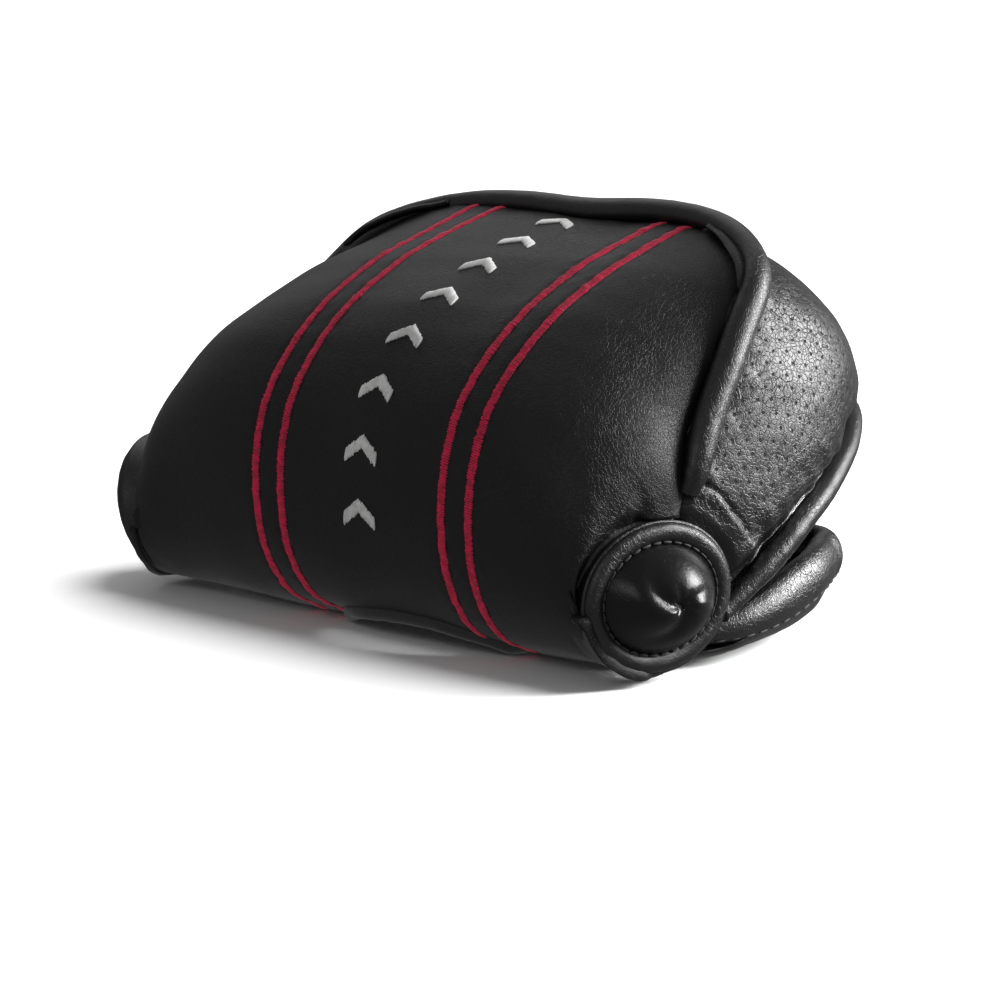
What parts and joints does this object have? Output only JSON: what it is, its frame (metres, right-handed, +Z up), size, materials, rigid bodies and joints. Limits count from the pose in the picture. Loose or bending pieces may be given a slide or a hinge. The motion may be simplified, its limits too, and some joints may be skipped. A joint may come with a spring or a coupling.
{
  "type": "putter head cover",
  "caption": "Padded leather cover for a mallet putter head, with piped seams, round end caps, stitched stripes and a hinged magnetic closing flap.",
  "frame": {"origin": "centre of the whole cover in plan, on the plane that the flap's flat underside lies in", "axes": "+X towards the cover's right end cap, +Y from the front hem with the shaft notch to the rear, +Z up"},
  "size_m": [0.124, 0.0944, 0.0718],
  "materials": {
    "panel_leather": "black grained leather, satin",
    "band_leather": "black grained leather, satin; the rear band is perforated",
    "cap_leather": "black smooth leather, semi-gloss",
    "welt_leather": "black leather rolled over cord, satin",
    "lining": "dark grey brushed lining",
    "foam": "open-cell padding, hidden",
    "core_cord": "twisted filler cord, hidden",
    "magnet": "plated disc magnet, hidden",
    "red_thread": "crimson satin-stitch embroidery",
    "white_thread": "white satin-stitch embroidery"
  },
  "bodies": {
    "cover": {"main_panel": "panel_leather", "main_panel_foam": "foam", "main_panel_lining": "lining", "stripe_right_outer": "red_thread", "stripe_right_inner": "red_thread", "stripe_left_inner": "red_thread", "stripe_left_outer": "red_thread", "mark_1": "white_thread", "mark_2": "white_thread", "mark_3": "white_thread", "mark_4": "white_thread", "mark_5": "white_thread", "mark_6": "white_thread", "mark_7": "white_thread", "mark_8": "white_thread", "rear_band": "band_leather", "rear_band_foam": "foam", "rear_band_lining": "lining", "end_cap_right": "cap_leather", "end_cap_lining_right": "lining", "ring_welt_right": "welt_leather", "end_cap_left": "cap_leather", "end_cap_lining_left": "lining", "ring_welt_left": "welt_leather", "top_welt": "welt_leather", "top_welt_cord": "core_cord", "lower_welt": "welt_leather", "lower_welt_cord": "core_cord", "notch_binding": "welt_leather", "hem_magnet_right": "magnet", "hem_magnet_left": "magnet", "hinge_facing": "band_leather"},
    "flap": {"flap_outer": "band_leather", "flap_foam": "foam", "flap_lining": "lining", "flap_binding": "welt_leather", "flap_magnet_right": "magnet", "flap_magnet_left": "magnet", "hinge_strap": "band_leather"}
  },
  "joints": [
    {"name": "flap_hinge", "type": "hinge", "parent": "cover", "child": "flap", "pos_m": [0.0055, 0.03548, 0.036], "axis": [1, 0, 0], "range_deg": [0, 110]}
  ]
}
